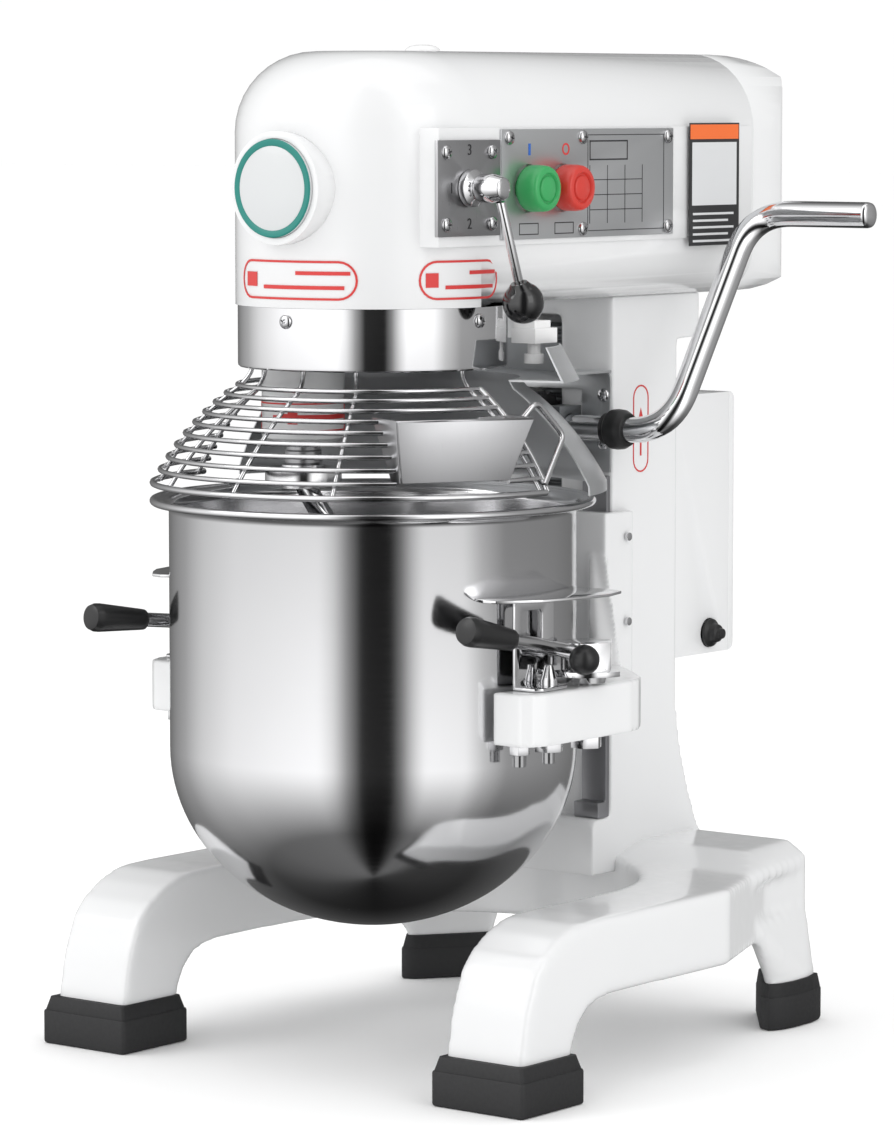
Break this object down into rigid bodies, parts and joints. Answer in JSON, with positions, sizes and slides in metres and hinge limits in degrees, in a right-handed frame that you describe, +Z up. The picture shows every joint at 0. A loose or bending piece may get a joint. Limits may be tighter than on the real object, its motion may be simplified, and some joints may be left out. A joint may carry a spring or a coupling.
{
  "type": "planetary food mixer",
  "caption": "Bench planetary mixer with lift-down bowl, wire guard, feed chute, side crank, speed lever and start and stop buttons.",
  "frame": {"origin": "on the table, under the axis of the bowl", "axes": "+Z up, +Y to the rear, +X to the side that carries the crank and the controls"},
  "size_m": [0.3805, 0.479, 0.6104],
  "materials": {
    "white_enamel": "gloss enamel",
    "black_rubber": "moulded",
    "polished_steel": "mirror polished",
    "steel": "satin",
    "way_steel": "ground",
    "cast_grey": "machined",
    "plate_aluminium": "satin",
    "badge_grey": "satin",
    "green_rubber": "moulded",
    "red_rubber": "moulded",
    "black_plastic": "moulded",
    "white_plastic": "moulded"
  },
  "bodies": {
    "stand": {"base_casting": "white_enamel", "front_feet": "black_rubber", "rear_feet": "black_rubber", "column_casting": "white_enamel", "guide_strips": "way_steel", "head_casting": "white_enamel", "rear_cover": "white_enamel", "oil_cap": "white_plastic", "badge_rim": "white_enamel", "badge_disc": "badge_grey", "gear_plate": "polished_steel", "control_plate": "plate_aluminium", "pan_screws": "steel", "collar_ring": "polished_steel", "switch_block": "white_plastic", "rear_shield": "steel", "shield_bracket": "steel", "shaft_bearings": "cast_grey", "electrical_box": "white_enamel", "box_lid": "white_enamel", "contactor": "white_plastic", "motor_body": "cast_grey", "ring_gear": "cast_grey", "shift_rod": "steel", "drive_belt": "black_rubber"},
    "gear_lever": {"lever_hub": "polished_steel", "lever_rod": "polished_steel", "lever_knob": "black_plastic"},
    "start_key": {"start_button": "green_rubber"},
    "stop_key": {"stop_button": "red_rubber"},
    "reset_key": {"reset_button": "black_rubber"},
    "guard_switch": {"switch_plunger": "white_plastic"},
    "guard": {"guard_cage": "polished_steel", "feed_chute": "steel", "guard_runner": "white_plastic"},
    "planetary": {"planetary_drum": "white_enamel", "main_shaft": "steel", "main_gears": "cast_grey"},
    "agitator": {"agitator_shaft": "steel", "planet_pinion": "cast_grey", "dough_hook": "polished_steel"},
    "rotor": {"motor_shaft": "steel", "motor_pulley": "cast_grey"},
    "layshaft": {"lay_shaft": "steel", "driven_pulley": "cast_grey"},
    "cluster": {"gear_cluster": "cast_grey"},
    "fork": {"shift_fork": "cast_grey"},
    "carrier": {"carrier_casting": "white_enamel", "lift_rack": "cast_grey", "carrier_studs": "steel"},
    "clamp_right": {"clamp_block_right": "polished_steel", "clamp_lever_right": "steel", "clamp_grip_right": "black_plastic"},
    "clamp_left": {"clamp_block_left": "polished_steel", "clamp_lever_left": "steel", "clamp_grip_left": "black_plastic"},
    "bowl_unit": {"bowl": "polished_steel", "bowl_brackets": "polished_steel"},
    "crank": {"crank_bar": "polished_steel", "crank_fittings": "black_rubber"}
  },
  "joints": [
    {"name": "planetary_turn", "type": "hinge", "parent": "stand", "child": "planetary", "pos_m": [0, 0, 0.44], "axis": [0, 0, 1], "continuous": true},
    {"name": "agitator_turn", "type": "hinge", "parent": "planetary", "child": "agitator", "pos_m": [-0.031, -0.028, 0.4], "axis": [0, 0, 1], "continuous": true},
    {"name": "rotor_turn", "type": "hinge", "parent": "stand", "child": "rotor", "pos_m": [0, 0.25, 0.5], "axis": [0, 0, 1], "continuous": true},
    {"name": "layshaft_turn", "type": "hinge", "parent": "stand", "child": "layshaft", "pos_m": [0, 0.085, 0.5], "axis": [0, 0, 1], "continuous": true},
    {"name": "gear_lever_turn", "type": "hinge", "parent": "stand", "child": "gear_lever", "pos_m": [0.084, -0.017, 0.526], "axis": [1, 0, 0], "range_deg": [-201, 10]},
    {"name": "cluster_shift", "type": "slide", "parent": "layshaft", "child": "cluster", "axis": [0, 0, 1], "range_m": [-0.0011, 0.0223]},
    {"name": "fork_shift", "type": "slide", "parent": "stand", "child": "fork", "axis": [0, 0, 1], "range_m": [-0.0012, 0.0225]},
    {"name": "start_press", "type": "slide", "parent": "stand", "child": "start_key", "axis": [-1, 0, 0], "range_m": [0, 0.004], "stiffness_N_per_m": 800},
    {"name": "stop_press", "type": "slide", "parent": "stand", "child": "stop_key", "axis": [-1, 0, 0], "range_m": [0, 0.004], "stiffness_N_per_m": 800},
    {"name": "reset_press", "type": "slide", "parent": "stand", "child": "reset_key", "axis": [-1, 0, 0], "range_m": [0, 0.003], "stiffness_N_per_m": 800},
    {"name": "guard_switch_press", "type": "slide", "parent": "stand", "child": "guard_switch", "axis": [0, 0, 1], "range_m": [0, 0.004], "stiffness_N_per_m": 500},
    {"name": "guard_swing", "type": "hinge", "parent": "stand", "child": "guard", "pos_m": [0, 0, 0.425], "axis": [0, 0, 1], "range_deg": [-110, 0]},
    {"name": "carrier_lift", "type": "slide", "parent": "stand", "child": "carrier", "axis": [0, 0, 1], "range_m": [-0.06, 0]},
    {"name": "crank_turn", "type": "hinge", "parent": "stand", "child": "crank", "pos_m": [0, 0.158, 0.375], "axis": [1, 0, 0], "range_deg": [-157, 0.5]},
    {"name": "clamp_right_turn", "type": "hinge", "parent": "carrier", "child": "clamp_right", "pos_m": [0.138, 0.029, 0.24], "axis": [0, 0, 1], "range_deg": [0, 100]},
    {"name": "clamp_left_turn", "type": "hinge", "parent": "carrier", "child": "clamp_left", "pos_m": [-0.138, 0.029, 0.24], "axis": [0, 0, 1], "range_deg": [-100, 0]},
    {"name": "bowl_lift_off", "type": "slide", "parent": "carrier", "child": "bowl_unit", "axis": [0, 0, 1], "range_m": [0, 0.003]}
  ],
  "couplings": [
    {"joint": "agitator_turn", "follows": "planetary_turn", "ratio": -3.6108},
    {"joint": "layshaft_turn", "follows": "planetary_turn", "ratio": -1.4286},
    {"joint": "rotor_turn", "follows": "planetary_turn", "ratio": -3.0252},
    {"joint": "crank_turn", "follows": "carrier_lift", "rad_per_m": 45.455},
    {"joint": "gear_lever_turn", "follows": "cluster_shift", "rad_per_m": -157.08},
    {"joint": "fork_shift", "follows": "cluster_shift", "ratio": 1}
  ]
}
